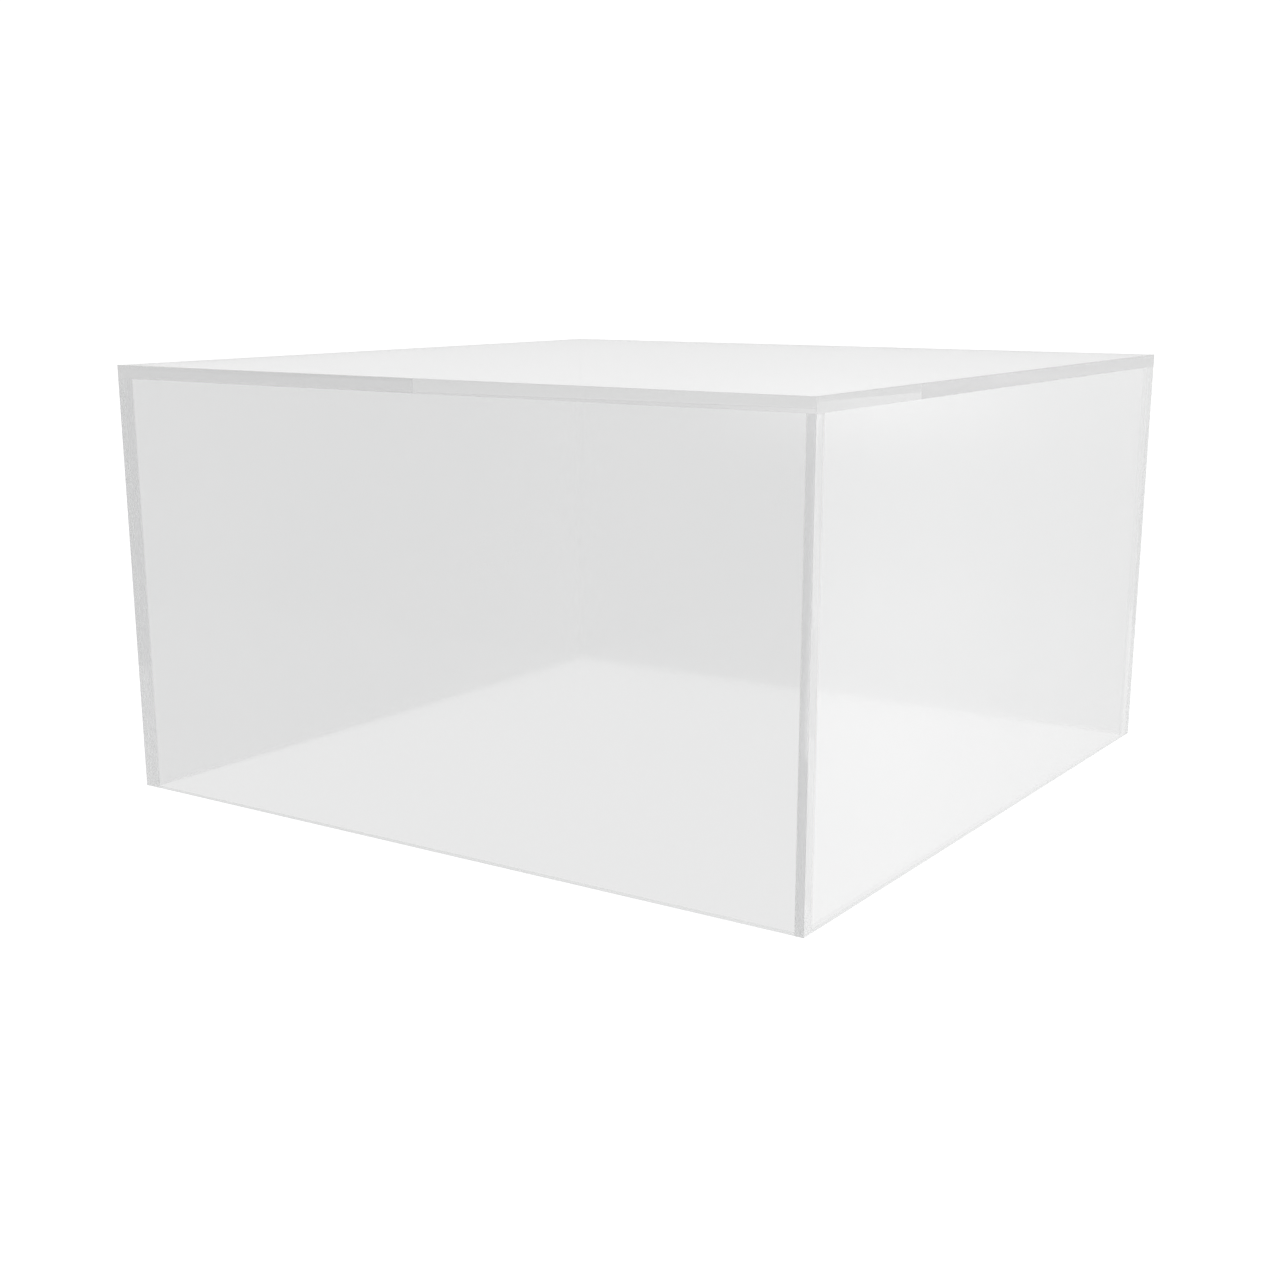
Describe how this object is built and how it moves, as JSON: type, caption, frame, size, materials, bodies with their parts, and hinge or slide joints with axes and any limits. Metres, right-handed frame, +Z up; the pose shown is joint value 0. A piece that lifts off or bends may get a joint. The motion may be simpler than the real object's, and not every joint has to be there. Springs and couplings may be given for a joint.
{
  "type": "acrylic display cover",
  "caption": "Low square five-sided box of clear acrylic sheet, open at the bottom, that stands over a displayed object or serves as a riser.",
  "frame": {"origin": "centre of the square footprint, on the surface that the cover stands on", "axes": "+Z up, out of the top panel; the front panel faces -Y and the right panel faces +X"},
  "size_m": [0.3, 0.3, 0.166],
  "materials": {
    "clear_acrylic": "polished"
  },
  "bodies": {
    "root": {"top_panel": "clear_acrylic", "front_panel": "clear_acrylic", "back_panel": "clear_acrylic", "left_panel": "clear_acrylic", "right_panel": "clear_acrylic"}
  },
  "joints": []
}
